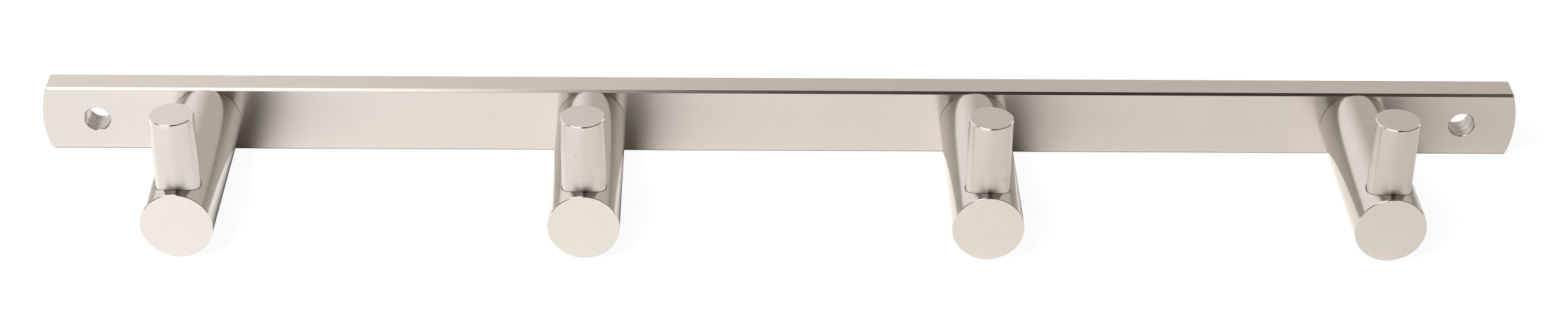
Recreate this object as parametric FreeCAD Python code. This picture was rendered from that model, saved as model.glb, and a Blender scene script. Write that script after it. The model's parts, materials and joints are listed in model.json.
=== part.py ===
import FreeCAD, Part
import math
import os

# Coat hook rack in brushed stainless steel, in millimetres.
# Origin: centre of the rail's rear face, which lies against the wall (the plane y = 0).
# +X runs along the rail, -Y points away from the wall into the room, +Z is up.

# Rail: a flat bar with bowed ends
rail_length = 420.0
rail_height = 20.0
rail_thickness = 8.0
rail_end_radius = 30.0
rail_front_chamfer = 0.7
rail_fine_chamfer = 0.25

# Plain holes for the two wall screws, one near each end of the rail
wall_hole_diameter = 7.3
wall_hole_from_end = 15.5
wall_hole_deburr = 0.15

# Posts: round bars that stand out of the rail, evenly spaced between the wall holes
post_count = 4
post_diameter = 19.5
post_length = 56.0
outer_post_from_wall_hole = 31.0
post_front_chamfer = 0.2
post_back_chamfer = 0.25

# Uprights: thinner round bars that stand on the posts
upright_diameter = 12.0
upright_axis_from_post_front = 8.5
upright_top_above_post = 20.0
upright_top_chamfer = 0.25
upright_foot_chamfer = 0.2

# Round flat-bottomed seat in the post that each upright drops into
seat_depth_below_saddle = 1.2
seat_clearance = 0.15

# Countersunk machine screws that hold the posts, driven from behind the rail
screw_diameter = 6.0
screw_head_diameter = 12.0
screw_head_land = 0.3
screw_head_recess = 0.3
screw_length_in_post = 12.0
screw_tip_chamfer = 0.8
screw_hex_across_flats = 4.0
screw_hex_depth = 2.0
screw_hole_clearance = 0.3

# Threaded studs that hold the uprights
stud_diameter = 6.0
stud_length_in_post = 8.0
stud_length_in_upright = 9.0
stud_end_chamfer = 0.7
stud_hex_across_flats = 3.0
stud_hex_depth = 3.0

# Dowel pins that stop the posts from turning on their screws
pin_diameter = 3.0
pin_length_in_post = 6.0
steel_behind_pin_hole = 3.0
pin_end_chamfer = 0.3
pin_clearance = 0.02

# Shared by the tapped and blind holes
thread_clearance = 0.03
blind_hole_spare_depth = 1.0

# Two places closer than this count as the same one
same_place = 1e-6

# Worked out from the sizes above
wall_hole_x = rail_length / 2.0 - wall_hole_from_end
outer_post_x = wall_hole_x - outer_post_from_wall_hole
post_spacing = 2.0 * outer_post_x / (post_count - 1)
rail_front_y = -rail_thickness
post_radius = post_diameter / 2.0
upright_radius = upright_diameter / 2.0
upright_y = rail_front_y - post_length + upright_axis_from_post_front
upright_top_z = post_radius + upright_top_above_post
seat_radius = upright_radius + seat_clearance
seat_z = math.sqrt(post_radius ** 2 - seat_radius ** 2) - seat_depth_below_saddle
screw_radius = screw_diameter / 2.0
screw_head_radius = screw_head_diameter / 2.0
stud_radius = stud_diameter / 2.0
pin_radius = pin_diameter / 2.0
pin_from_post_axis = (screw_radius + post_radius) / 2.0
pin_hole_depth_in_rail = rail_thickness - steel_behind_pin_hole
pin_length_in_rail = pin_hole_depth_in_rail - blind_hole_spare_depth

out_of_wall = FreeCAD.Vector(0, -1, 0)
into_wall = FreeCAD.Vector(0, 1, 0)
up = FreeCAD.Vector(0, 0, 1)
down = FreeCAD.Vector(0, 0, -1)


def post_xs():
    # the posts' places along the rail, from -X to +X
    return [post_spacing * i - outer_post_x for i in range(post_count)]


def on_rail_front(x):
    return FreeCAD.Vector(x, rail_front_y, 0)


def on_seat(x):
    return FreeCAD.Vector(x, upright_y, seat_z)


def turned_to(direction, start):
    # the placement that takes something made along +Z from the origin to start, along direction
    return FreeCAD.Placement(start, FreeCAD.Rotation(up, direction))


def round_bar(radius, length, start, direction, start_chamfer, end_chamfer):
    # a turned bar, with a chamfer round each end
    profile = [
        FreeCAD.Vector(0, 0, 0),
        FreeCAD.Vector(radius - start_chamfer, 0, 0),
        FreeCAD.Vector(radius, 0, start_chamfer),
        FreeCAD.Vector(radius, 0, length - end_chamfer),
        FreeCAD.Vector(radius - end_chamfer, 0, length),
        FreeCAD.Vector(0, 0, length),
    ]
    face = Part.Face(Part.makePolygon(profile + profile[:1]))
    bar = face.revolve(FreeCAD.Vector(0, 0, 0), up, 360)
    bar.Placement = turned_to(direction, start)
    return bar


def hex_socket(across_flats, depth, mouth, direction):
    # the hexagonal hole that a key fits, from its mouth along direction
    corner_radius = across_flats / math.sqrt(3.0)
    angles = [math.radians(60 * i) for i in range(6)]
    corners = [FreeCAD.Vector(math.cos(a), math.sin(a), 0) * corner_radius for a in angles]
    face = Part.Face(Part.makePolygon(corners + corners[:1]))
    socket = face.extrude(up * depth)
    socket.Placement = turned_to(direction, mouth)
    return socket


def lies_at(edge, y):
    box = edge.BoundBox
    return abs(box.YMin - y) < same_place and abs(box.YMax - y) < same_place


def is_level(edge):
    return edge.BoundBox.ZLength < same_place


def rail_blank():
    # flat bar whose ends bow outwards, seen from the front
    half_height = rail_height / 2.0
    end_x = rail_length / 2.0
    bow = rail_end_radius - math.sqrt(rail_end_radius ** 2 - half_height ** 2)
    corner_x = end_x - bow
    top_left = FreeCAD.Vector(-corner_x, 0, half_height)
    top_right = FreeCAD.Vector(corner_x, 0, half_height)
    bottom_right = FreeCAD.Vector(corner_x, 0, -half_height)
    bottom_left = FreeCAD.Vector(-corner_x, 0, -half_height)
    outline = [
        Part.makeLine(top_left, top_right),
        Part.Arc(top_right, FreeCAD.Vector(end_x, 0, 0), bottom_right).toShape(),
        Part.makeLine(bottom_right, bottom_left),
        Part.Arc(bottom_left, FreeCAD.Vector(-end_x, 0, 0), top_left).toShape(),
    ]
    return Part.Face(Part.Wire(outline)).extrude(out_of_wall * rail_thickness)


def ease_rail_edges(blank):
    # a clear chamfer on the two long front edges, and a fine one on the other edges of both faces
    front_long = [e for e in blank.Edges if lies_at(e, rail_front_y) and is_level(e)]
    eased = blank.makeChamfer(rail_front_chamfer, front_long)
    rear = [e for e in eased.Edges if lies_at(e, 0.0)]
    front_arcs = [e for e in eased.Edges if lies_at(e, rail_front_y) and not is_level(e)]
    return eased.makeChamfer(rail_fine_chamfer, rear + front_arcs)


def wall_hole(x):
    # a plain drilled hole, lightly deburred at both mouths
    radius = wall_hole_diameter / 2.0
    flare_radius = radius + wall_hole_deburr
    rear = FreeCAD.Vector(x, 0, 0)
    drill = Part.makeCylinder(radius, rail_thickness, rear, out_of_wall)
    rear_flare = Part.makeCone(flare_radius, radius, wall_hole_deburr, rear, out_of_wall)
    front_flare = Part.makeCone(flare_radius, radius, wall_hole_deburr, on_rail_front(x), into_wall)
    return drill.fuse([rear_flare, front_flare])


def post_screw_hole(x):
    # clearance hole, with a 90 degree countersink that matches the screw head's cone
    rear = FreeCAD.Vector(x, 0, 0)
    mouth_radius = screw_head_radius + screw_head_land + screw_head_recess
    drill = Part.makeCylinder(screw_radius + screw_hole_clearance, rail_thickness, rear, out_of_wall)
    countersink = Part.makeCone(mouth_radius, 0, mouth_radius, rear, out_of_wall)
    return drill.fuse(countersink)


def pin_start(x):
    # on the joint between rail and post, beside the screw, on the side nearer the rail's middle
    side = -1 if x > 0 else 1
    return on_rail_front(x + side * pin_from_post_axis)


def make_rail():
    rail = ease_rail_edges(rail_blank())
    for x in (-wall_hole_x, wall_hole_x):
        rail = rail.cut(wall_hole(x))
    for x in post_xs():
        hole_radius = pin_radius + pin_clearance
        pin_hole = Part.makeCylinder(hole_radius, pin_hole_depth_in_rail, pin_start(x), into_wall)
        rail = rail.cut(post_screw_hole(x))
        rail = rail.cut(pin_hole)
    return rail


def make_post(x):
    start = on_rail_front(x)
    post = round_bar(post_radius, post_length, start, out_of_wall, post_back_chamfer, post_front_chamfer)
    screw_depth = screw_length_in_post + blind_hole_spare_depth
    pin_depth = pin_length_in_post + blind_hole_spare_depth
    stud_depth = stud_length_in_post + blind_hole_spare_depth
    holes = [
        Part.makeCylinder(screw_radius + thread_clearance, screw_depth, start, out_of_wall),
        Part.makeCylinder(pin_radius + pin_clearance, pin_depth, pin_start(x), out_of_wall),
        Part.makeCylinder(seat_radius, post_diameter, on_seat(x), up),
        Part.makeCylinder(stud_radius + thread_clearance, stud_depth, on_seat(x), down),
    ]
    return post.cut(holes)


def make_upright(x):
    length = upright_top_z - seat_z
    bar = round_bar(upright_radius, length, on_seat(x), up, upright_foot_chamfer, upright_top_chamfer)
    depth = stud_length_in_upright + blind_hole_spare_depth
    return bar.cut(Part.makeCylinder(stud_radius + thread_clearance, depth, on_seat(x), up))


def make_post_screw(x):
    # countersunk hexagon socket screw, its head just below the rail's rear face
    head_face = FreeCAD.Vector(x, -screw_head_recess, 0)
    cone_base = head_face + out_of_wall * screw_head_land
    cone_length = screw_head_radius - screw_radius
    length = rail_thickness - screw_head_recess + screw_length_in_post
    shank = round_bar(screw_radius, length, head_face, out_of_wall, 0.0, screw_tip_chamfer)
    land = Part.makeCylinder(screw_head_radius, screw_head_land, head_face, out_of_wall)
    cone = Part.makeCone(screw_head_radius, screw_radius, cone_length, cone_base, out_of_wall)
    screw = shank.fuse([land, cone]).removeSplitter()
    return screw.cut(hex_socket(screw_hex_across_flats, screw_hex_depth, head_face, out_of_wall))


def make_upright_stud(x):
    # headless threaded stud, part in the post and part in the upright, with a key socket on top
    foot = on_seat(x) + down * stud_length_in_post
    length = stud_length_in_post + stud_length_in_upright
    stud = round_bar(stud_radius, length, foot, up, stud_end_chamfer, stud_end_chamfer)
    return stud.cut(hex_socket(stud_hex_across_flats, stud_hex_depth, foot + up * length, down))


def make_post_pin(x):
    start = pin_start(x) + into_wall * pin_length_in_rail
    length = pin_length_in_rail + pin_length_in_post
    return round_bar(pin_radius, length, start, out_of_wall, pin_end_chamfer, pin_end_chamfer)


def export(shape, node):
    if not shape.isValid() or len(shape.Solids) != 1:
        raise ValueError(node + " is not one valid solid")
    shape.Solids[0].exportStep("parts/" + node + ".step")
    print(node, round(shape.Volume, 1), "mm3")


os.makedirs("parts", exist_ok=True)
export(make_rail(), "rail")
for i, x in enumerate(post_xs()):
    number = str(i + 1)
    export(make_post(x), "post_" + number)
    export(make_upright(x), "upright_" + number)
    export(make_post_screw(x), "post_screw_" + number)
    export(make_upright_stud(x), "upright_stud_" + number)
    export(make_post_pin(x), "post_pin_" + number)
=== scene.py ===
import json
import math

import bmesh
import bpy
from mathutils import Matrix, Vector


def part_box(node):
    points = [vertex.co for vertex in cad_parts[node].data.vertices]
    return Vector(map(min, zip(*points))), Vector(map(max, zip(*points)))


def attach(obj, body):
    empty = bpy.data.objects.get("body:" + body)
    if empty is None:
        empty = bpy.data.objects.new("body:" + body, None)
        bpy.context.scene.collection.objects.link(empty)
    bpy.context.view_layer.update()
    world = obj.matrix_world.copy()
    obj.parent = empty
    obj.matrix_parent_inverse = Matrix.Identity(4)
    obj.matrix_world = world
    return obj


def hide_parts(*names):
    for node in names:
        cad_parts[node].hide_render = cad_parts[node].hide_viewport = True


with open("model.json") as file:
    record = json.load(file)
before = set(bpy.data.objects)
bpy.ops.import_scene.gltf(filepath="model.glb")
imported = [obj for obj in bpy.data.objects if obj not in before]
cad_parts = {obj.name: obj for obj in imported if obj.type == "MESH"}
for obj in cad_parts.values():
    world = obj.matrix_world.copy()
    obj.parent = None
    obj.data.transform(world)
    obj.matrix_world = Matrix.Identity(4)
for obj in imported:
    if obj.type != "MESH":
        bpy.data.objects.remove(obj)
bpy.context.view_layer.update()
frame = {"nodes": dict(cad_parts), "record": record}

body = "root"
mm = 0.001
print("rack frame loaded:", len(frame["nodes"]), "pieces")

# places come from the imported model, in millimetres, and pieces are built in millimetres too
outOfWall = Vector((0, -1, 0))
intoWall = Vector((0, 1, 0))
up = Vector((0, 0, 1))
down = Vector((0, 0, -1))


def numbered(stem):
    return sorted(n for n in frame["nodes"] if n.startswith(stem) and n[len(stem):].isdigit())


def boxInMm(node):
    low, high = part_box(node)
    return low / mm, high / mm


def centreInMm(node):
    low, high = boxInMm(node)
    return (low + high) / 2


railLow, railHigh = boxInMm("rail")
wallHoles = next(m for m in frame["record"]["mounts"] if m["name"] == "wall_screw_holes")["dims"]

cameraSetup = {
    "lens": 68.46,
    "place": (-0.01783, -0.73885, 0.43417),
    "turn": -1.44,      # degrees, to the right of straight on
    "lookDown": 31.56,
    "roll": 1.0,
}


def addCamera(setup):
    data = bpy.data.cameras.new("rackCamera")
    data.lens = setup["lens"]
    data.sensor_width = 36
    data.dof.use_dof = False
    camera = bpy.data.objects.new("rackCamera", data)
    bpy.context.scene.collection.objects.link(camera)
    turn = Matrix.Rotation(math.radians(setup["turn"]), 4, "Z")
    tilt = Matrix.Rotation(math.radians(90 - setup["lookDown"]), 4, "X")
    roll = Matrix.Rotation(math.radians(setup["roll"]), 4, "Z")
    camera.matrix_world = Matrix.Translation(setup["place"]) @ turn @ tilt @ roll
    bpy.context.scene.camera = camera


addCamera(cameraSetup)


def addNode(tree, kind, values=None, **settings):
    # adds a node, sets its properties, then fills its sockets with numbers or with other nodes' outputs
    node = tree.nodes.new(kind)
    for key, value in settings.items():
        setattr(node, key, value)
    for socket, value in (values or {}).items():
        if isinstance(value, bpy.types.NodeSocket):
            tree.links.new(value, node.inputs[socket])
        else:
            node.inputs[socket].default_value = value
    return node


def calc(tree, operation, a, b=0.0):
    return addNode(tree, "ShaderNodeMath", {0: a, 1: b}, operation=operation).outputs[0]


def spread(tree, value, low, high, fromLow=0.25, fromHigh=0.75):
    # stretches the usual range of a noise to low..high
    sockets = {"Value": value, "From Min": fromLow, "From Max": fromHigh, "To Min": low, "To Max": high}
    return addNode(tree, "ShaderNodeMapRange", sockets).outputs[0]


def blendColours(tree, amount, first, second):
    node = addNode(tree, "ShaderNodeMix", {0: amount, 6: first, 7: second}, data_type="RGBA")
    return node.outputs[2]


def grain(tree, place, perMetre, detail):
    # noise stretched along the direction that the abrasive belt moved in
    stretched = addNode(tree, "ShaderNodeMapping", {"Vector": place, "Scale": perMetre}).outputs[0]
    sockets = {"Vector": stretched, "Scale": 1.0, "Detail": detail, "Roughness": 0.6}
    return addNode(tree, "ShaderNodeTexNoise", sockets).outputs[0]


smallPits = {
    "perMetre": 210.0,
    "share": 0.10,          # how many of the places that could have a dent do have one
    "size": 0.075,          # radius, as a share of the distance between those places
    "flat": 0.4,            # the flat middle, as a share of the radius
    "tone": 0.5,
    "depth": 3e-5,
    "ragged": 0.0004,       # how far the rims stray from a circle, in metres
    "raggedPerMetre": 1500.0,
}


def pitMask(tree, place, pits):
    # a few small ragged dents, at random: 1 in a dent and 0 between them
    strayNoise = {"Vector": place, "Scale": pits["raggedPerMetre"], "Detail": 1.0}
    stray = addNode(tree, "ShaderNodeTexNoise", strayNoise).outputs["Color"]
    bend = {0: stray, "Scale": pits["ragged"]}
    bent = addNode(tree, "ShaderNodeVectorMath", bend, operation="SCALE").outputs[0]
    moved = addNode(tree, "ShaderNodeVectorMath", {0: place, 1: bent}, operation="ADD").outputs[0]
    cells = addNode(tree, "ShaderNodeTexVoronoi", {"Vector": moved, "Scale": pits["perMetre"]})
    flat = pits["size"] * pits["flat"]
    near = spread(tree, cells.outputs["Distance"], 1.0, 0.0, flat, pits["size"])
    lottery = addNode(tree, "ShaderNodeSeparateColor", {0: cells.outputs["Color"]}).outputs[0]
    return calc(tree, "MULTIPLY", near, calc(tree, "LESS_THAN", lottery, pits["share"]))


wearLook = {
    "patchesPerMetre": 700.0,
    "patchRange": (0.42, 0.68),     # the stretch of the noise over which bare edge turns into rubbed edge
    "strength": 0.6,
    "smoother": 0.08,
}


def wearMask(tree, place, wear):
    # 1 along a rubbed edge, in patches, fading out over a millimetre or so
    along = addNode(tree, "ShaderNodeSeparateXYZ", {0: place}).outputs[wear["axis"]]
    if wear["bothSides"]:
        along = calc(tree, "ABSOLUTE", along)
    near = spread(tree, along, 0.0, 1.0, wear["fades"] * mm, wear["edge"] * mm)
    patchNoise = {"Vector": place, "Scale": wearLook["patchesPerMetre"], "Detail": 3.0}
    patchy = addNode(tree, "ShaderNodeTexNoise", patchNoise).outputs[0]
    return calc(tree, "MULTIPLY", near, spread(tree, patchy, 0.0, 1.0, *wearLook["patchRange"]))


steelFinish = {
    "colour": (0.60, 0.568, 0.533, 1),
    "shade": (0.29, 0.265, 0.24, 1),
    "wornColour": (0.68, 0.655, 0.63, 1),
    "roughness": 0.245,
    "anisotropy": 0.95,
    "grainTurn": 0.0,
    "tangentAxis": "X",
    "fineLines": (8, 3200, 3200),
    "broadLines": (3, 650, 650),
    "smudgePerMetre": 55.0,
    "lineTone": 0.045,
    "streakTone": 0.035,
    "smudgeTone": 0.03,
    "lineRough": 0.015,
    "smudgeRough": 0.015,
    "lineHeight": 0.12e-6,
    "pits": None,
    "wear": None,
}


def steel(name, changes):
    # stainless steel: grain, broader streaks, soft smudges, and dents and rubbed edges where asked for
    finish = {**steelFinish, **changes}
    material = bpy.data.materials.new(name)
    material.use_nodes = True
    tree = material.node_tree
    shader = tree.nodes["Principled BSDF"]
    place = addNode(tree, "ShaderNodeTexCoord").outputs["Object"]
    fine = grain(tree, place, finish["fineLines"], 3.0)
    broad = grain(tree, place, finish["broadLines"], 2.0)
    smudgeSockets = {"Vector": place, "Scale": finish["smudgePerMetre"], "Detail": 3.0}
    smudge = addNode(tree, "ShaderNodeTexNoise", smudgeSockets).outputs[0]

    tone = calc(tree, "MULTIPLY", spread(tree, fine, 1 - finish["lineTone"], 1),
                spread(tree, broad, 1 - finish["streakTone"], 1))
    tone = calc(tree, "MULTIPLY", tone, spread(tree, smudge, 1 - finish["smudgeTone"], 1))
    rough = spread(tree, fine, -finish["lineRough"], finish["lineRough"])
    rough = calc(tree, "ADD", rough, finish["roughness"])
    rough = calc(tree, "ADD", rough, spread(tree, smudge, -finish["smudgeRough"], finish["smudgeRough"]))
    height = calc(tree, "MULTIPLY", fine, finish["lineHeight"])
    if finish["pits"]:
        pits = pitMask(tree, place, finish["pits"])
        tone = calc(tree, "SUBTRACT", tone, calc(tree, "MULTIPLY", pits, finish["pits"]["tone"]))
        height = calc(tree, "SUBTRACT", height, calc(tree, "MULTIPLY", pits, finish["pits"]["depth"]))
    colour = blendColours(tree, tone, finish["shade"], finish["colour"])
    if finish["wear"]:
        worn = wearMask(tree, place, finish["wear"])
        rubbed = calc(tree, "MULTIPLY", worn, wearLook["strength"])
        colour = blendColours(tree, rubbed, colour, finish["wornColour"])
        rough = calc(tree, "SUBTRACT", rough, calc(tree, "MULTIPLY", worn, wearLook["smoother"]))
    tree.links.new(colour, shader.inputs["Base Color"])
    tree.links.new(rough, shader.inputs["Roughness"])
    bump = addNode(tree, "ShaderNodeBump", {"Height": height, "Strength": 1.0, "Distance": 1.0})
    tree.links.new(bump.outputs[0], shader.inputs["Normal"])
    shader.inputs["Metallic"].default_value = 1.0
    shader.inputs["Anisotropic"].default_value = finish["anisotropy"]
    shader.inputs["Anisotropic Rotation"].default_value = finish["grainTurn"]
    tangent = addNode(tree, "ShaderNodeTangent", direction_type="RADIAL", axis=finish["tangentAxis"])
    tree.links.new(tangent.outputs[0], shader.inputs["Tangent"])
    return material


postFrontY = boxInMm("post_1")[0].y
uprightTopZ = boxInMm("upright_1")[1].z
quarterTurn = 0.25
railRubbedWidth = 1.0       # how far the wear reaches in from an edge
rubbedWidth = 1.4
steelLooks = {
    # what each finish changes in steelFinish; the rail is linished lengthwise
    "railBrushed": {
        "wear": {"axis": "Z", "bothSides": True, "fades": railHigh.z - railRubbedWidth, "edge": railHigh.z},
    },
    # painted light: the top and bottom faces get a lighter copy of the rail steel, as the top catches more
    # light
    "railTop": {"colour": (0.635, 0.603, 0.568, 1)},
    "railEnd": {
        "fineLines": (900, 900, 2600), "broadLines": (300, 300, 500), "anisotropy": 0.3, "roughness": 0.24,
    },
    "railBack": {"roughness": 0.34, "streakTone": 0.12, "smudgeTone": 0.12, "lineHeight": 1.6e-6},
    # posts and uprights are polished on a lathe, so their grain runs round them
    "postBrushed": {
        "tangentAxis": "Y", "grainTurn": quarterTurn, "fineLines": (6, 3200, 6), "broadLines": (4, 600, 4),
        "roughness": 0.17, "anisotropy": 0.4, "lineTone": 0.13, "streakTone": 0.09, "pits": smallPits,
        "wear": {"axis": "Y", "bothSides": True, "fades": -postFrontY - rubbedWidth, "edge": -postFrontY},
    },
    "postFace": {
        "grainTurn": quarterTurn, "fineLines": (2600, 60, 60), "broadLines": (500, 20, 20),
        "anisotropy": 0.6, "roughness": 0.3, "pits": {**smallPits, "share": 0.05},
    },
    "uprightBrushed": {
        "tangentAxis": "Z", "grainTurn": quarterTurn, "fineLines": (6, 6, 3200), "broadLines": (4, 4, 600),
        "roughness": 0.24, "anisotropy": 1.0, "lineTone": 0.07, "streakTone": 0.06,
        "colour": (0.57, 0.54, 0.507, 1), "pits": {**smallPits, "share": 0.45, "size": 0.13},
        "wear": {"axis": "Z", "bothSides": False, "fades": uprightTopZ - rubbedWidth, "edge": uprightTopZ},
    },
    "uprightTop": {
        "fineLines": (60, 2600, 60), "broadLines": (20, 500, 20), "anisotropy": 0.5, "roughness": 0.3,
        "colour": (0.68, 0.655, 0.63, 1), "smudgeTone": 0.08, "pits": {**smallPits, "share": 0.03},
    },
    "polishedEdge": {
        "fineLines": (1500, 1500, 1500), "broadLines": (300, 300, 300), "anisotropy": 0.0,
        "roughness": 0.13, "lineTone": 0.04, "lineHeight": 0.1e-6, "lineRough": 0.02, "smudgeRough": 0.01,
    },
    "drilledBore": {
        "fineLines": (200, 2800, 200), "broadLines": (350, 800, 350), "anisotropy": 0.2, "roughness": 0.2,
        "lineTone": 0.4, "streakTone": 0.9, "lineHeight": 1.2e-5,
    },
    "machinedSeat": {
        "fineLines": (500, 500, 2500), "broadLines": (150, 150, 600), "anisotropy": 0.2, "roughness": 0.34,
        "lineTone": 0.2, "streakTone": 0.15, "lineHeight": 3e-6,
    },
    "screwSteel": {
        "fineLines": (700, 1400, 700), "broadLines": (150, 150, 150), "anisotropy": 0.2, "roughness": 0.3,
        "lineTone": 0.12, "streakTone": 0.12, "colour": (0.50, 0.485, 0.46, 1),
    },
    "threadSteel": {
        "fineLines": (900, 900, 900), "broadLines": (200, 200, 200), "anisotropy": 0.0, "roughness": 0.36,
        "lineTone": 0.15, "streakTone": 0.15, "colour": (0.45, 0.435, 0.415, 1),
    },
    "pinSteel": {
        "fineLines": (60, 60, 60), "broadLines": (200, 900, 200), "anisotropy": 0.0, "roughness": 0.2,
        "lineTone": 0.08, "colour": (0.48, 0.465, 0.445, 1),
    },
}
finishes = {name: steel(name, look) for name, look in steelLooks.items()}
print("steel finishes set:", len(finishes))


arcSteps = 4                # straight steps in an eased corner


def easedOutline(corners):
    # a turned profile: each corner is (radius, along, ease, finish), and an eased corner becomes an arc
    points = []
    for i, (radius, along, ease, finish) in enumerate(corners):
        here = Vector((radius, along))
        if not ease:
            points.append((radius, along, finish))
            continue
        before = (Vector(corners[i - 1][:2]) - here).normalized()
        after = (Vector(corners[i + 1][:2]) - here).normalized()
        half = before.angle(after) / 2
        middle = here + (before + after).normalized() * (ease / math.sin(half))
        first = here + before * (ease / math.tan(half)) - middle
        last = here + after * (ease / math.tan(half)) - middle
        sweep = first.angle_signed(last)
        for step in range(arcSteps + 1):
            spoke = first.copy()
            spoke.rotate(Matrix.Rotation(-sweep * step / arcSteps, 2))
            points.append((middle.x + spoke.x, middle.y + spoke.y, finish))
    return points


def threadRings(points, thread):
    # cuts the stretch named in thread into many rings, so that a helical groove can be turned into it
    rings = []
    for (radius, along, finish), (_, nextAlong, _) in zip(points, points[1:] + points[-1:]):
        rings.append((radius, along, finish, 0.0))
        if finish == thread["finish"]:
            count = round(abs(nextAlong - along) / thread["pitch"] * thread["ringsPerTurn"])
            for step in range(1, count):
                share = step / count
                turns = abs(nextAlong - along) / thread["pitch"]
                fade = min(1.0, share * turns, (1 - share) * turns)      # runs out over the last turn
                rings.append((radius, along + (nextAlong - along) * share, finish, fade))
    return rings


def turnedShape(corners, start, direction, around, thread=None):
    # a solid turned about the line from start along direction, with a finish for each stretch
    points = easedOutline(corners)
    rings = threadRings(points, thread) if thread else [(*point, 0.0) for point in points]
    turn = direction.to_track_quat("Z", "Y").to_matrix()
    slots = list(dict.fromkeys(ring[2] for ring in rings))
    shape = bmesh.new()
    loops = []
    for radius, along, finish, fade in rings:
        loop = []
        for i in range(around if radius else 1):
            angle = 2 * math.pi * i / around
            here = radius
            if fade:
                phase = (along / thread["pitch"] - i / around) % 1
                here -= thread["depth"] * fade * min(1.0, thread["flankSlope"] * abs(phase - 0.5))
            point = Vector((here * math.cos(angle), here * math.sin(angle), along))
            loop.append(shape.verts.new(start + turn @ point))
        loops.append(loop)
    for loop, nextLoop, ring in zip(loops, loops[1:], rings):
        for i in range(around):
            j = (i + 1) % around
            near = [loop[i % len(loop)], loop[j % len(loop)]]
            far = [nextLoop[j % len(nextLoop)], nextLoop[i % len(nextLoop)]]
            face = shape.faces.new(list(dict.fromkeys(near + far)))     # a triangle at a loop of one point
            face.material_index = slots.index(ring[2])
    bmesh.ops.recalc_face_normals(shape, faces=shape.faces)
    return shape, slots


def addObject(name, shape, slots):
    data = bpy.data.meshes.new(name)
    shape.to_mesh(data)
    shape.free()
    for slot in slots:
        data.materials.append(finishes[slot])
    piece = bpy.data.objects.new(name, data)
    bpy.context.scene.collection.objects.link(piece)
    return piece


def carve(piece, cutters):
    # cuts the cutters out of the piece, keeps their finishes on the new faces, and removes them
    for cutter in cutters:
        hole = piece.modifiers.new("hole", "BOOLEAN")
        hole.operation = "DIFFERENCE"
        hole.solver = "EXACT"
        hole.material_mode = "TRANSFER"
        hole.object = cutter
    bpy.context.view_layer.update()
    solid = piece.evaluated_get(bpy.context.evaluated_depsgraph_get())
    data = bpy.data.meshes.new_from_object(solid)
    piece.modifiers.clear()
    piece.data = data
    for cutter in cutters:
        bpy.data.objects.remove(cutter)
    return piece


sharpAngle = math.radians(38)       # an edge that turns more than this stays crisp
samePoint = 1e-7                    # in metres


def finishPiece(piece, node):
    # millimetres become metres, the shading is smooth between real edges, and it replaces the CAD node
    piece.data.transform(Matrix.Scale(mm, 4))
    shape = bmesh.new()
    shape.from_mesh(piece.data)
    bmesh.ops.remove_doubles(shape, verts=shape.verts, dist=samePoint)
    for face in shape.faces:
        face.smooth = True
    for edge in shape.edges:
        edge.smooth = len(edge.link_faces) == 2 and edge.calc_face_angle(math.pi) < sharpAngle
    shape.to_mesh(piece.data)
    shape.free()
    weighted = piece.modifiers.new("evenShading", "WEIGHTED_NORMAL")
    weighted.keep_sharp = True
    weighted.mode = "FACE_AREA"
    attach(piece, body)
    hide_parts(node)


railShape = {
    "endRadius": 30.0,
    "cornerRadius": 0.5,    # where the bowed ends meet the long edges
    "frontChamfer": 0.7,
    "fineChamfer": 0.25,
    "soften": 0.14,         # rounding on both shoulders of the front chamfer
    "bowSteps": 40,
    "cornerSteps": 6,
}


def railOutline(longInset, endInset):
    # the rail seen from the front: straight long edges and bowed ends, both moved in from the full size
    halfHeight = railHigh.z - longInset
    bow = railShape["endRadius"] - endInset
    bowCentre = railHigh.x - railShape["endRadius"]
    corner = railShape["cornerRadius"]
    cornerRise = halfHeight - corner
    cornerOut = math.sqrt((bow - corner) ** 2 - cornerRise ** 2)
    meet = math.atan2(cornerRise, cornerOut)
    cornerX = bowCentre + cornerOut
    rightEnd = []
    for step in range(railShape["cornerSteps"]):
        angle = -math.pi / 2 + (math.pi / 2 - meet) * step / railShape["cornerSteps"]
        rightEnd.append((cornerX + corner * math.cos(angle), -cornerRise + corner * math.sin(angle)))
    for step in range(railShape["bowSteps"] + 1):
        angle = meet * (2 * step / railShape["bowSteps"] - 1)
        rightEnd.append((bowCentre + bow * math.cos(angle), bow * math.sin(angle)))
    for step in range(1, railShape["cornerSteps"] + 1):
        angle = meet + (math.pi / 2 - meet) * step / railShape["cornerSteps"]
        rightEnd.append((cornerX + corner * math.cos(angle), cornerRise + corner * math.sin(angle)))
    return rightEnd + [(-x, z) for x, z in reversed(rightEnd)]


def splitAtHoles(shape):
    # cuts the long flat faces through every hole's centre, so that no face is left with a hole inside it
    places = [(Vector((0, 0, 0)), up)]
    for x in [centreInMm(node).x for node in numbered("post_screw_") + numbered("post_pin_")]:
        places.append((Vector((x, 0, 0)), Vector((1, 0, 0))))
    for side in (-1, 1):
        places.append((Vector((side * wallHoles["spacing_x_mm"] / 2, 0, 0)), Vector((1, 0, 0))))
    for place, across in places:
        everything = shape.verts[:] + shape.edges[:] + shape.faces[:]
        bmesh.ops.bisect_plane(shape, geom=everything, plane_co=place, plane_no=across)


def railFinish(normal):
    # which finish a face of the bar has, from the way it faces
    square = 0.99
    if normal.y > square:
        return "railBack"
    if normal.y < -square:
        return "railBrushed"
    # the top and bottom faces take the painted lighter steel
    if abs(normal.z) > square:
        return "railTop"
    if abs(normal.y) < 0.1:
        return "railEnd"
    return "polishedEdge"


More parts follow.
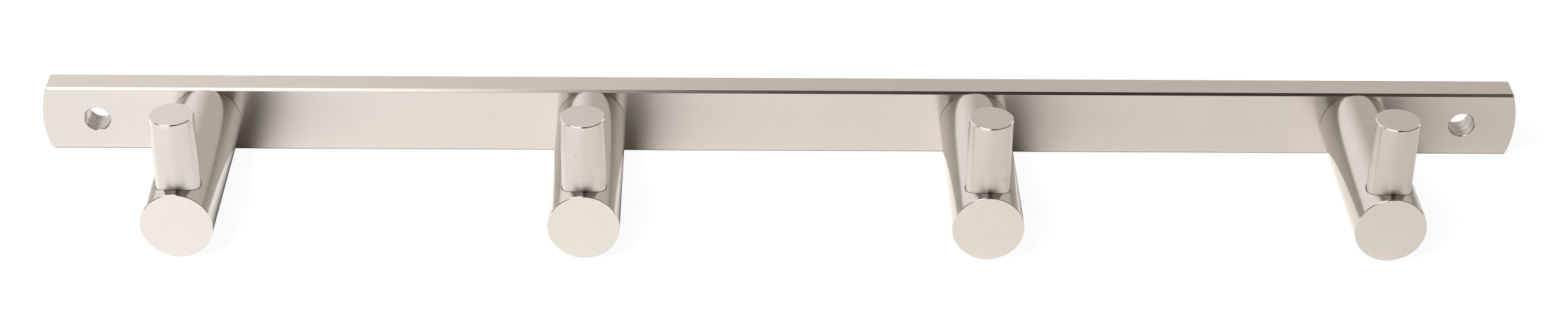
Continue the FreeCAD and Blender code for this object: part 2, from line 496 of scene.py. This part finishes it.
def railBar():
    # rings from the rear face to the front face, each moved in where an edge is eased
    thickness = -railLow.y
    fine = railShape["fineChamfer"]
    chamfer = railShape["frontChamfer"]
    soften = railShape["soften"]
    frontEdge = easedOutline([
        (0.0, 0.0, 0, ""),
        (0.0, thickness - chamfer, soften, ""),
        (chamfer, thickness, soften, ""),
        (2 * chamfer, thickness, 0, ""),
    ])[1:-1]
    rings = [(0.0, fine, fine), (fine, 0.0, 0.0)]
    for inset, depth, _ in frontEdge:
        rings.append((depth, inset, max(0.0, depth - thickness + fine)))
    rings[-1] = (thickness, frontEdge[-1][0], fine)
    shape = bmesh.new()
    loops = []
    for depth, longInset, endInset in rings:
        outline = railOutline(longInset, endInset)
        loops.append([shape.verts.new((x, -depth, z)) for x, z in outline])
    count = len(loops[0])
    for loop, nextLoop in zip(loops, loops[1:]):
        for i in range(count):
            j = (i + 1) % count
            shape.faces.new([loop[i], loop[j], nextLoop[j], nextLoop[i]])
    shape.faces.new(loops[0])
    shape.faces.new(loops[-1])
    splitAtHoles(shape)
    bmesh.ops.recalc_face_normals(shape, faces=shape.faces)
    slots = ["railBrushed", "railTop", "railBack", "railEnd", "polishedEdge"]
    for face in shape.faces:
        face.material_index = slots.index(railFinish(face.normal))
    return addObject("rackRail", shape, slots)


holeSteps = {
    "throughRail": 96,      # sides of the cutters for the holes that go through the rail
    "blind": 48,
    "socket": 6,            # a hexagon
}
wallHoleShape = {
    "deburr": 0.15,
    "ridge": 0.035,         # the drill's feed marks
    "ridges": 14,
}
past = 1.0                  # how far a cutter reaches past the surface that it opens


def wallHoleCutter(x):
    thickness = -railLow.y
    radius = wallHoles["hole_r_mm"]
    deburr = wallHoleShape["deburr"]
    corners = [(0, -past, 0, "drilledBore"), (radius + deburr + past, -past, 0, "polishedEdge")]
    for i in range(wallHoleShape["ridges"] + 1):
        along = deburr + (thickness - 2 * deburr) * i / wallHoleShape["ridges"]
        corners.append((radius - wallHoleShape["ridge"] * (i % 2), along, 0, "drilledBore"))
    corners[-1] = (*corners[-1][:3], "polishedEdge")
    corners.append((radius + deburr + past, thickness + past, 0, "drilledBore"))
    corners.append((0, thickness + past, 0, "drilledBore"))
    shape, slots = turnedShape(corners, Vector((x, 0, 0)), outOfWall, around=holeSteps["throughRail"])
    return addObject("wallHoleCutter", shape, slots)


screwShape = {
    "headLand": 0.3,
    "recess": 0.3,
    "tipChamfer": 0.8,
    "holeClearance": 0.3,
    "hexAcrossFlats": 4.0,
    "hexDepth": 2.0,
    "drillPoint": 0.6,      # depth of the cone that a drill leaves, as a share of the radius
    "socketPoint": 0.3,     # the same for the cone at the bottom of a hexagon socket
    "headEase": 0.08,
    "threadClearance": 0.03,
    "around": 64,
}
threadShape = {
    "finish": "threadSteel",
    "radius": 3.0,          # M6, for the post screws and the upright studs
    "pitch": 1.0,
    "depth": 0.55,
    "flankSlope": 2.3,
    "ringsPerTurn": 10,
}
tappedRadius = threadShape["radius"] + screwShape["threadClearance"]
pinShape = {
    "endChamfer": 0.3,
    "soften": 0.15,
    "clearance": 0.02,
    "around": 48,
}


def screwHoleCutter(x, headRadius):
    # countersink for the screw head, then a clearance hole through the rail
    mouth = headRadius + screwShape["headLand"] + screwShape["recess"]
    clear = threadShape["radius"] + screwShape["holeClearance"]
    corners = [
        (0, -past, 0, "machinedSeat"),
        (mouth + past, -past, 0, "machinedSeat"),
        (clear, mouth - clear, 0, "drilledBore"),
        (clear, -railLow.y + past, 0, "drilledBore"),
        (0, -railLow.y + past, 0, "drilledBore"),
    ]
    shape, slots = turnedShape(corners, Vector((x, 0, 0)), outOfWall, around=holeSteps["throughRail"])
    return addObject("screwHoleCutter", shape, slots)


def blindHoleCutter(name, radius, start, direction, depth):
    corners = [
        (0, -past, 0, "drilledBore"),
        (radius, -past, 0, "drilledBore"),
        (radius, depth, 0, "drilledBore"),
        (0, depth + radius * screwShape["drillPoint"], 0, "drilledBore"),
    ]
    shape, slots = turnedShape(corners, start, direction, around=holeSteps["blind"])
    return addObject(name, shape, slots)


spareDepth = 1.0            # a blind hole is this much deeper than what it holds


def makeRail():
    rail = railBar()
    holeX = wallHoles["spacing_x_mm"] / 2
    cutters = [wallHoleCutter(x) for x in (-holeX, holeX)]
    for node in numbered("post_screw_"):
        low, high = boxInMm(node)
        cutters.append(screwHoleCutter(centreInMm(node).x, (high.x - low.x) / 2))
    for node in numbered("post_pin_"):
        low, high = boxInMm(node)
        radius = (high.x - low.x) / 2
        start = Vector((centreInMm(node).x, railLow.y, 0))
        depth = high.y - railLow.y + spareDepth - radius * screwShape["drillPoint"]
        radius += pinShape["clearance"]
        cutters.append(blindHoleCutter("pinHoleCutter", radius, start, intoWall, depth))
    carve(rail, cutters)
    finishPiece(rail, "rail")


makeRail()
print("rail built")

postShape = {
    "frontChamfer": 0.2,
    "backChamfer": 0.25,
    "soften": 0.08,
    "around": 192,
}
seatShape = {
    "clearance": 0.15,
    "floorCorner": 0.12,
}


def makePost(number):
    node = "post_" + number
    low, high = boxInMm(node)
    centre = centreInMm(node)
    radius = (high.x - low.x) / 2
    length = high.y - low.y
    chamfer = postShape["frontChamfer"]
    back = postShape["backChamfer"]
    screwTip = railLow.y - boxInMm("post_screw_" + number)[0].y       # how far the screw reaches in
    corners = [
        (0, screwTip + spareDepth + tappedRadius * screwShape["drillPoint"], 0, "drilledBore"),
        (tappedRadius, screwTip + spareDepth, 0, "drilledBore"),
        (tappedRadius, 0, 0, "machinedSeat"),
        (radius - back, 0, 0, "polishedEdge"),
        (radius, back, 0, "postBrushed"),
        (radius, length - chamfer, postShape["soften"], "polishedEdge"),
        (radius - chamfer, length, postShape["soften"], "postFace"),
        (0, length, 0, "postFace"),
    ]
    shape, slots = turnedShape(corners, Vector((centre.x, high.y, 0)), outOfWall, postShape["around"])
    post = addObject("hookPost_" + number, shape, slots)

    uprightLow, uprightHigh = boxInMm("upright_" + number)
    upright = centreInMm("upright_" + number)
    seat = (uprightHigh.x - uprightLow.x) / 2 + seatShape["clearance"]
    studDepth = uprightLow.z - boxInMm("upright_stud_" + number)[0].z + spareDepth
    seatCorners = [
        (0, -studDepth - tappedRadius * screwShape["drillPoint"], 0, "drilledBore"),
        (tappedRadius, -studDepth, 0, "drilledBore"),
        (tappedRadius, 0, 0, "machinedSeat"),
        (seat, 0, seatShape["floorCorner"], "machinedSeat"),
        (seat, radius, 0, "machinedSeat"),
        (0, radius, 0, "machinedSeat"),
    ]
    seatFloor = Vector((upright.x, upright.y, uprightLow.z))
    seatCut, seatSlots = turnedShape(seatCorners, seatFloor, up, postShape["around"])
    seatCutter = addObject("seatCutter", seatCut, seatSlots)

    pinLow, pinHigh = boxInMm("post_pin_" + number)
    pinRadius = (pinHigh.x - pinLow.x) / 2 + pinShape["clearance"]
    pinStart = Vector((centreInMm("post_pin_" + number).x, high.y, 0))
    pinDepth = high.y - pinLow.y + spareDepth
    pinCutter = blindHoleCutter("pinHoleCutter", pinRadius, pinStart, outOfWall, pinDepth)
    carve(post, [seatCutter, pinCutter])
    finishPiece(post, node)


uprightShape = {
    "topChamfer": 0.25,
    "footChamfer": 0.2,
    "soften": 0.08,
    "around": 160,
}


def makeUpright(number):
    node = "upright_" + number
    low, high = boxInMm(node)
    centre = centreInMm(node)
    radius = (high.x - low.x) / 2
    length = high.z - low.z
    chamfer = uprightShape["topChamfer"]
    foot = uprightShape["footChamfer"]
    studDepth = boxInMm("upright_stud_" + number)[1].z - low.z + spareDepth
    corners = [
        (0, studDepth + tappedRadius * screwShape["drillPoint"], 0, "drilledBore"),
        (tappedRadius, studDepth, 0, "drilledBore"),
        (tappedRadius, 0, 0, "machinedSeat"),
        (radius - foot, 0, 0, "polishedEdge"),
        (radius, foot, 0, "uprightBrushed"),
        (radius, length - chamfer, uprightShape["soften"], "polishedEdge"),
        (radius - chamfer, length, uprightShape["soften"], "uprightTop"),
        (0, length, 0, "uprightTop"),
    ]
    shape, slots = turnedShape(corners, Vector((centre.x, centre.y, low.z)), up, uprightShape["around"])
    upright = addObject("hookUpright_" + number, shape, slots)
    finishPiece(upright, node)


def hexCutter(mouth, direction, acrossFlats, depth):
    # a broached six-sided socket with the drill's cone at its bottom
    radius = acrossFlats / math.sqrt(3)
    corners = [
        (0, -past, 0, "screwSteel"),
        (radius, -past, 0, "screwSteel"),
        (radius, depth, 0, "screwSteel"),
        (0, depth + radius * screwShape["socketPoint"], 0, "screwSteel"),
    ]
    shape, slots = turnedShape(corners, mouth, direction, around=holeSteps["socket"])
    return addObject("hexCutter", shape, slots)


def makePostScrew(number):
    node = "post_screw_" + number
    low, high = boxInMm(node)
    centre = centreInMm(node)
    head = (high.x - low.x) / 2
    shank = threadShape["radius"]
    length = high.y - low.y
    land = screwShape["headLand"]
    ease = screwShape["headEase"]
    neck = land + head - shank
    tip = screwShape["tipChamfer"]
    threadStart = -railLow.y - screwShape["recess"]
    corners = [
        (0, 0, 0, "screwSteel"),
        (head - ease, 0, 0, "polishedEdge"),
        (head, ease, 0, "screwSteel"),
        (head, land, ease, "screwSteel"),
        (shank, neck, 0, "screwSteel"),
        (shank, threadStart, 0, "threadSteel"),
        (shank, length - tip, 0, "screwSteel"),
        (shank - tip, length, 0, "screwSteel"),
        (0, length, 0, "screwSteel"),
    ]
    start = Vector((centre.x, high.y, 0))
    shape, slots = turnedShape(corners, start, outOfWall, around=screwShape["around"], thread=threadShape)
    screw = addObject("postScrew_" + number, shape, slots)
    carve(screw, [hexCutter(start, outOfWall, screwShape["hexAcrossFlats"], screwShape["hexDepth"])])
    finishPiece(screw, node)


studShape = {
    "endChamfer": 0.7,
    "hexAcrossFlats": 3.0,
    "hexDepth": 3.0,
}


def makeUprightStud(number):
    node = "upright_stud_" + number
    low, high = boxInMm(node)
    centre = centreInMm(node)
    radius = threadShape["radius"]
    length = high.z - low.z
    chamfer = studShape["endChamfer"]
    corners = [
        (0, 0, 0, "screwSteel"),
        (radius - chamfer, 0, 0, "screwSteel"),
        (radius, chamfer, 0, "threadSteel"),
        (radius, length - chamfer, 0, "screwSteel"),
        (radius - chamfer, length, 0, "screwSteel"),
        (0, length, 0, "screwSteel"),
    ]
    foot = Vector((centre.x, centre.y, low.z))
    shape, slots = turnedShape(corners, foot, up, around=screwShape["around"], thread=threadShape)
    stud = addObject("uprightStud_" + number, shape, slots)
    top = Vector((centre.x, centre.y, high.z))
    carve(stud, [hexCutter(top, down, studShape["hexAcrossFlats"], studShape["hexDepth"])])
    finishPiece(stud, node)


def makePostPin(number):
    node = "post_pin_" + number
    low, high = boxInMm(node)
    radius = (high.x - low.x) / 2
    length = high.y - low.y
    chamfer = pinShape["endChamfer"]
    soften = pinShape["soften"]
    corners = [
        (0, 0, 0, "pinSteel"),
        (radius - chamfer, 0, soften, "pinSteel"),
        (radius, chamfer, soften, "pinSteel"),
        (radius, length - chamfer, soften, "pinSteel"),
        (radius - chamfer, length, soften, "pinSteel"),
        (0, length, 0, "pinSteel"),
    ]
    start = Vector((centreInMm(node).x, high.y, 0))
    shape, slots = turnedShape(corners, start, outOfWall, around=pinShape["around"])
    pin = addObject("postPin_" + number, shape, slots)
    finishPiece(pin, node)


for number in [name.rsplit("_", 1)[1] for name in numbered("post_")]:
    makePost(number)
    makeUpright(number)
    makePostScrew(number)
    makeUprightStud(number)
    makePostPin(number)
print("four hooks built")

paperFloor = {
    "size": 6,
    "gap": 0.0002,          # below the rack, in metres like the other sizes here
    "leftColour": (0.84, 0.832, 0.828, 1),
    # the paper's right-hand colour is painted warm light, in place of a warm lamp on the right
    "rightColour": (0.90, 0.86, 0.81, 1),
    "colourTurns": (-0.22, 0.25),   # where the plain left colour starts to change and where the painted warm light is fully reached, along x
    "haze": 0.9,            # how far the camera sees clean white paper in place of the shadows on it
    "hazeStrength": 1.05,
}


def addFloor():
    height = railLow.z * mm - paperFloor["gap"]
    bpy.ops.mesh.primitive_plane_add(size=paperFloor["size"], location=(0, 0, height))
    floor = bpy.context.object
    floor.name = "studioFloor"
    material = bpy.data.materials.new("floorPaper")
    material.use_nodes = True
    tree = material.node_tree
    paper = tree.nodes["Principled BSDF"]
    place = addNode(tree, "ShaderNodeTexCoord").outputs["Object"]
    across = addNode(tree, "ShaderNodeSeparateXYZ", {0: place}).outputs[0]
    # painted warm light: the paper turns warmer towards +x, standing in for warm light from the right
    warmPaintedLightShare = spread(tree, across, 0.0, 1.0, *paperFloor["colourTurns"])
    colour = blendColours(tree, warmPaintedLightShare, paperFloor["leftColour"], paperFloor["rightColour"])
    tree.links.new(colour, paper.inputs["Base Color"])
    paper.inputs["Roughness"].default_value = 0.9
    paper.inputs["Specular IOR Level"].default_value = 0.0
    glow = {"Color": (1, 1, 1, 1), "Strength": paperFloor["hazeStrength"]}
    white = addNode(tree, "ShaderNodeEmission", glow)
    seen = addNode(tree, "ShaderNodeLightPath").outputs["Is Camera Ray"]
    haze = calc(tree, "MULTIPLY", seen, paperFloor["haze"])
    mixed = addNode(tree, "ShaderNodeMixShader", {0: haze, 1: paper.outputs[0], 2: white.outputs[0]})
    tree.links.new(mixed.outputs[0], tree.nodes["Material Output"].inputs["Surface"])
    floor.data.materials.append(material)


keyLight = {
    "place": (-0.66, -0.6, 1.0),    # in metres, as are the sizes
    "width": 0.8,
    "depth": 0.8,
    "power": 36.5,          # in watts
}


def addKeySoftbox():
    # one large soft light from the upper left, aimed at the rack
    data = bpy.data.lights.new("keySoftbox", "AREA")
    data.shape = "RECTANGLE"
    data.size = keyLight["width"]
    data.size_y = keyLight["depth"]
    data.energy = keyLight["power"]
    lamp = bpy.data.objects.new("keySoftbox", data)
    bpy.context.scene.collection.objects.link(lamp)
    lamp.location = keyLight["place"]
    lamp.visible_glossy = False     # it lights the paper, and what the steel mirrors is in roomLight
    lamp.rotation_euler = Vector(keyLight["place"]).to_track_quat("Z", "Y").to_euler()


roomLight = {
    # what the steel mirrors, by compass turn and height in degrees
    # turn 0 is straight behind the rack, and + is to the right
    "everywhere": (0.06, 0.052, 0.045),
    "left": {"turn": (-180, -70), "height": (-5, 75), "soft": 16.0, "colour": (0.36, 0.34, 0.315)},
    "overhead": {"turn": (-172, -100), "height": (44, 78), "soft": 4.0, "colour": (2.05, 2.0, 1.95)},
    "aboveBack": {"turn": (-80, 100), "height": (52, 85), "soft": 6.0, "colour": (1.9, 1.8, 1.72)},
    "rightBack": {"turn": (36, 150), "height": (-5, 70), "soft": 6.0, "colour": (0.37, 0.325, 0.28)},
    "farSide": {"turn": (-87, 36), "height": (-5, 58), "soft": 3.0, "colour": (1.265, 1.23, 1.205)},
    # the two windows give the uprights their bright flanks
    "leftWindow": {"turn": (-87, -60), "height": (3, 13), "soft": 2.0, "colour": (8.5, 8.3, 8.1)},
    "rightWindow": {"turn": (40, 64), "height": (3, 45), "soft": 2.0, "colour": (1.5, 1.45, 1.4)},
    "farSideDim": (0.745, 0.695, 0.648),
    "farSideFades": (-23.0, 3.0),       # turns between which the far side becomes dim
    "paperFill": (0.07, 0.065, 0.06),   # what the paper gets besides the key light
    "seenBehind": (0.93, 0.925, 0.92),  # the room as a bare pale backdrop
}


def gate(tree, value, span, soft):
    # 1 inside the span and 0 outside it, with soft ends
    rises = spread(tree, value, 0.0, 1.0, span[0] - soft, span[0] + soft)
    falls = spread(tree, value, 1.0, 0.0, span[1] - soft, span[1] + soft)
    return calc(tree, "MULTIPLY", rises, falls)


def addRoom():
    world = bpy.data.worlds.new("studioRoom")
    bpy.context.scene.world = world
    world.use_nodes = True
    tree = world.node_tree
    back = tree.nodes["Background"]
    facing = addNode(tree, "ShaderNodeTexCoord").outputs["Generated"]
    split = addNode(tree, "ShaderNodeSeparateXYZ", {"Vector": facing})
    turn = calc(tree, "DEGREES", calc(tree, "ARCTAN2", split.outputs["X"], split.outputs["Y"]))
    height = calc(tree, "DEGREES", calc(tree, "ARCSINE", split.outputs["Z"]))
    light = addNode(tree, "ShaderNodeRGB").outputs[0]
    light.default_value = (*roomLight["everywhere"], 1)
    for part in ("left", "overhead", "aboveBack", "rightBack", "farSide", "leftWindow", "rightWindow"):
        look = roomLight[part]
        inside = calc(tree, "MULTIPLY", gate(tree, turn, look["turn"], look["soft"]),
                      gate(tree, height, look["height"], look["soft"]))
        colour = (*look["colour"], 1)
        if part == "farSide":
            dimming = spread(tree, turn, 0.0, 1.0, *roomLight["farSideFades"])
            colour = blendColours(tree, dimming, colour, (*roomLight["farSideDim"], 1))
        light = blendColours(tree, inside, light, colour)
    path = addNode(tree, "ShaderNodeLightPath")
    light = blendColours(tree, path.outputs["Is Glossy Ray"], (*roomLight["paperFill"], 1), light)
    light = blendColours(tree, path.outputs["Is Camera Ray"], light, (*roomLight["seenBehind"], 1))
    tree.links.new(light, back.inputs["Color"])
    back.inputs["Strength"].default_value = 1.0


addFloor()
addRoom()
addKeySoftbox()
bpy.context.scene.view_settings.view_transform = "Standard"
print("studio set")
